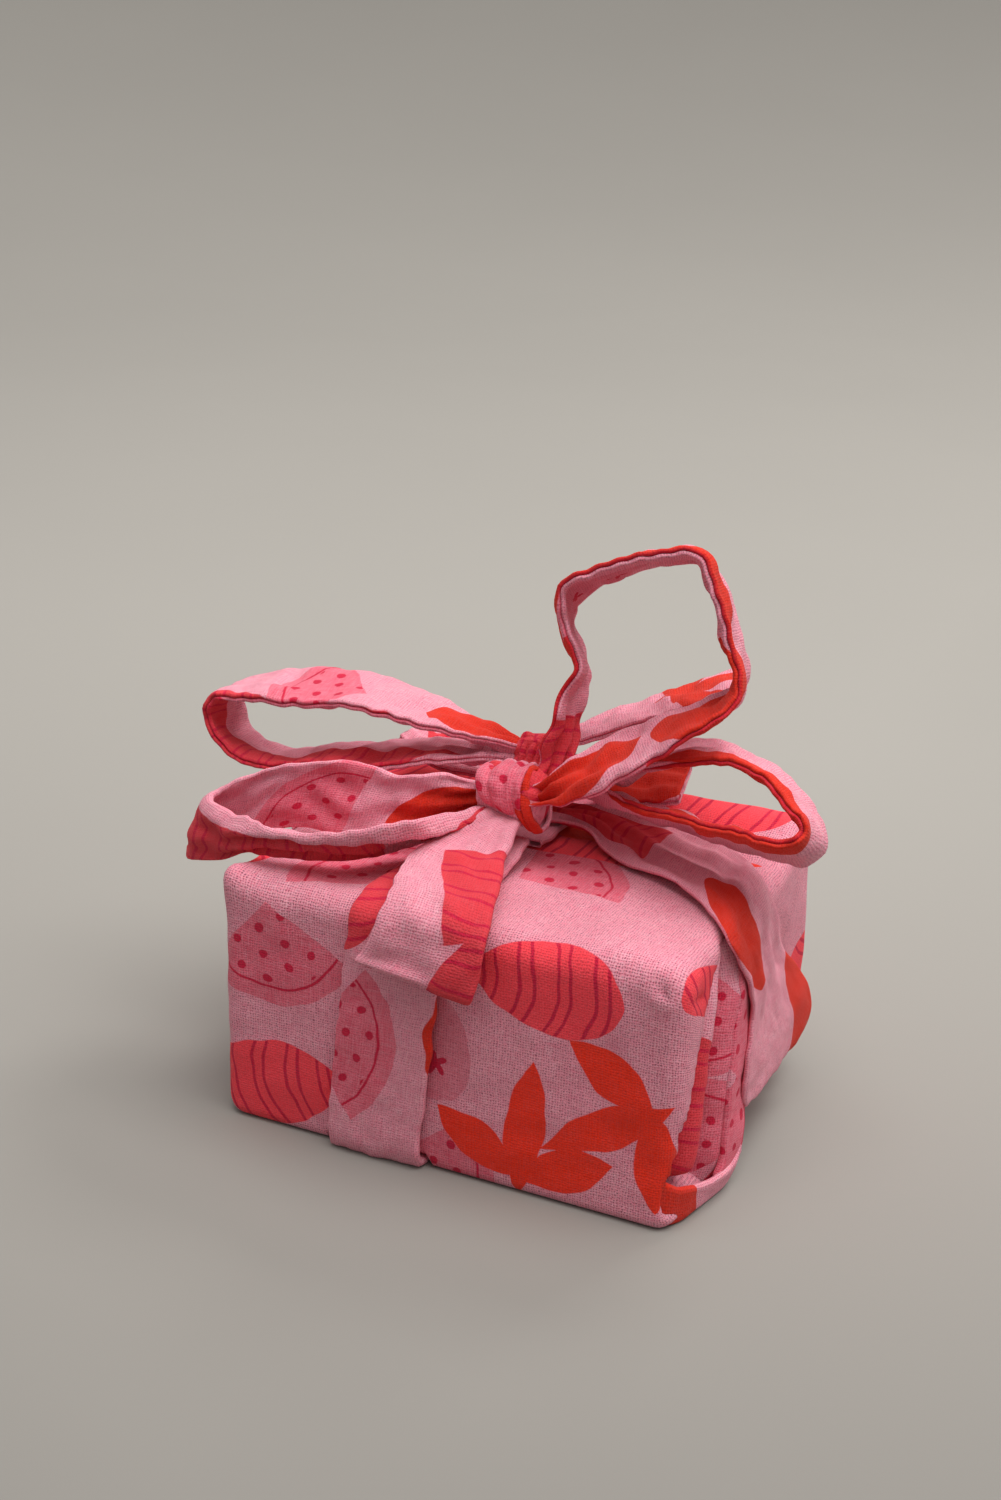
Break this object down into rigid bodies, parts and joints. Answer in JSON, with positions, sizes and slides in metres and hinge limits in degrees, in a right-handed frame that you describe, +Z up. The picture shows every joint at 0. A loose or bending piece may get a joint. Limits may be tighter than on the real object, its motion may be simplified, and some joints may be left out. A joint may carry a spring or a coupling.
{
  "type": "furoshiki wrap",
  "caption": "Small box-shaped parcel wrap of printed cotton, hollow, with pleated ends, straps over the top, a girth tie and soft bows one behind the other.",
  "frame": {"origin": "centre of the parcel's flat base, on the surface that it stands on", "axes": "+X along the parcel to its right end, +Y to the back, +Z up"},
  "size_m": [0.1352, 0.0843, 0.1175],
  "materials": {
    "printed_cotton": "matt plain-weave cotton, pink ground printed in rose, coral, crimson and orange-red"
  },
  "bodies": {
    "root": {"wrap_cloth": "printed_cotton", "girth_band": "printed_cotton", "front_bow": "printed_cotton", "rear_bow": "printed_cotton"}
  },
  "joints": []
}
